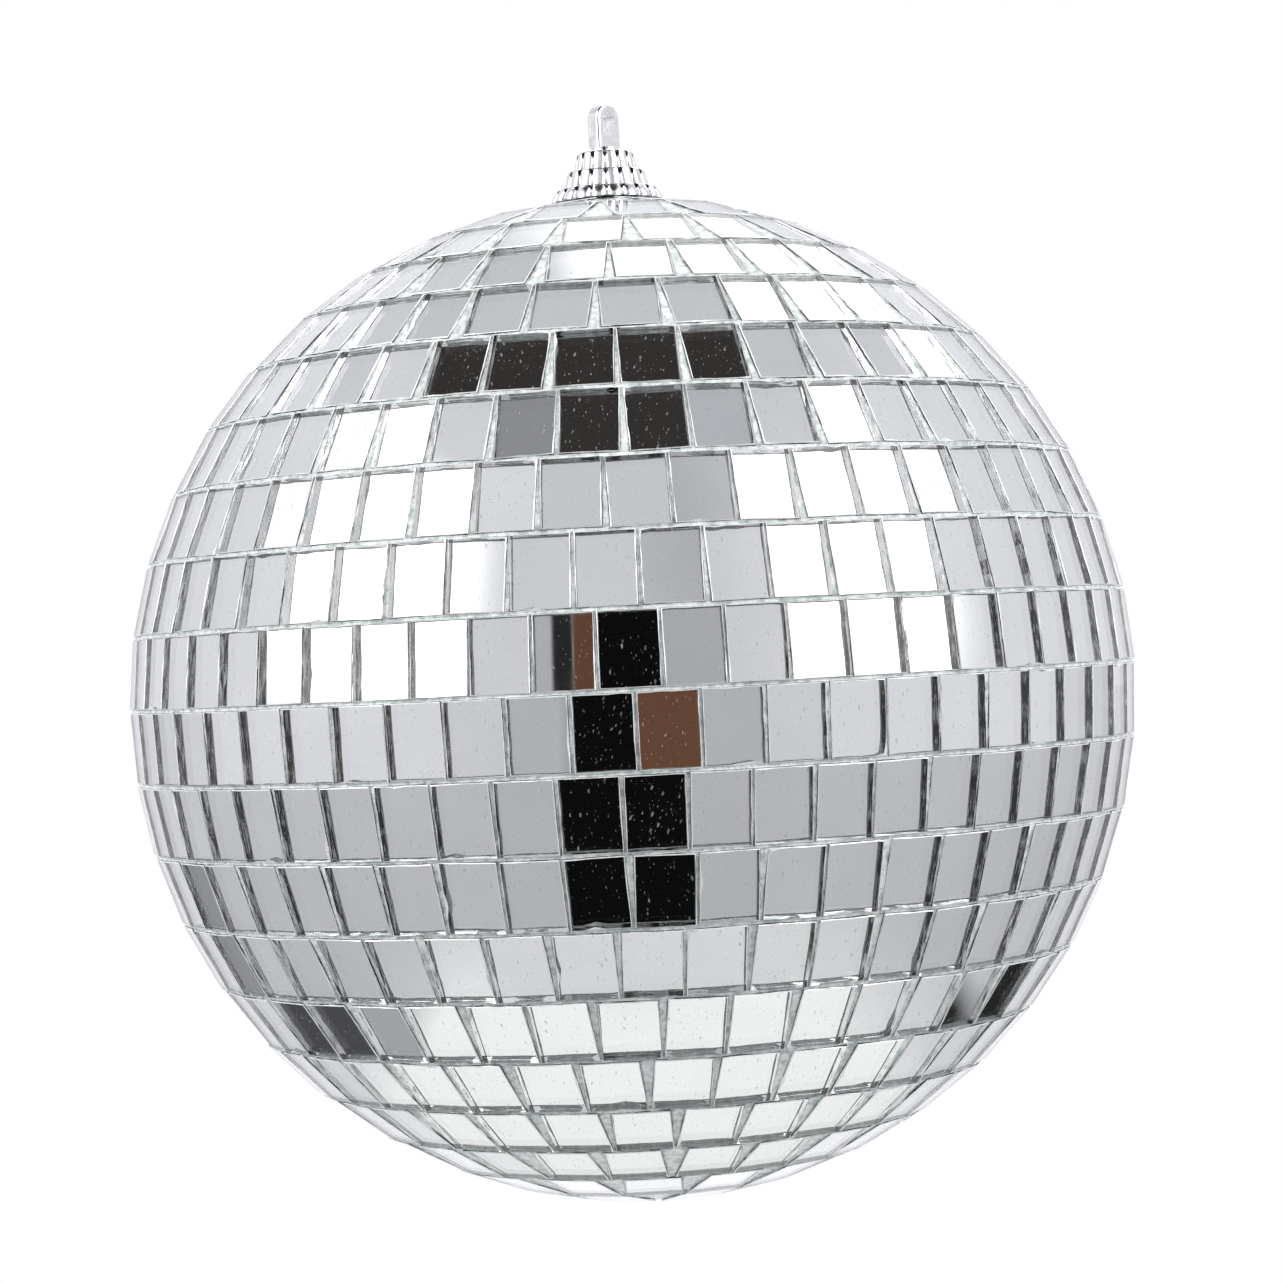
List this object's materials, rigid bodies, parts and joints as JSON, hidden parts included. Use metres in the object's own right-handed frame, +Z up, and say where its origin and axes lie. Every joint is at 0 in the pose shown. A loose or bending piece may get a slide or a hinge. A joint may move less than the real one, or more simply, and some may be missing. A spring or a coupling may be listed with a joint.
{
  "type": "mirror ball",
  "caption": "Hanging mirror ball: rings of flat glass tiles glued on a foam core, with a stepped fluted cap and a swivelling eye on top.",
  "frame": {"origin": "the centre of the ball", "axes": "+Z up the spin axis, through the cap and the eye; -Y is the front"},
  "size_m": [0.152, 0.1519, 0.1664],
  "materials": {
    "mirror_glass": "polished",
    "white_foam": "matte",
    "clear_glue": "gloss",
    "natural_plastic": "satin",
    "plated_plastic": "polished",
    "spring_steel": "satin"
  },
  "bodies": {
    "hanger": {"hanging_eye": "plated_plastic", "retaining_clip": "spring_steel"},
    "ball": {"foam_core": "white_foam", "adhesive_coat": "clear_glue", "anchor_plug": "natural_plastic", "cap_glue": "clear_glue", "crown_cap": "plated_plastic", "bearing_washer": "natural_plastic", "mirror_row_01": "mirror_glass", "mirror_row_02": "mirror_glass", "mirror_row_03": "mirror_glass", "mirror_row_04": "mirror_glass", "mirror_row_05": "mirror_glass", "mirror_row_06": "mirror_glass", "mirror_row_07": "mirror_glass", "mirror_row_08": "mirror_glass", "mirror_row_09": "mirror_glass", "mirror_row_10": "mirror_glass", "mirror_row_11": "mirror_glass", "mirror_row_12": "mirror_glass", "mirror_row_13": "mirror_glass", "mirror_row_14": "mirror_glass", "mirror_row_15": "mirror_glass", "mirror_row_16": "mirror_glass", "mirror_row_17": "mirror_glass", "mirror_row_18": "mirror_glass", "mirror_row_19": "mirror_glass", "mirror_row_20": "mirror_glass", "mirror_bottom_pair": "mirror_glass"}
  },
  "joints": [
    {"name": "ball_spin", "type": "hinge", "parent": "hanger", "child": "ball", "pos_m": [0, 0, 0.0827], "axis": [0, 0, 1], "continuous": true}
  ]
}
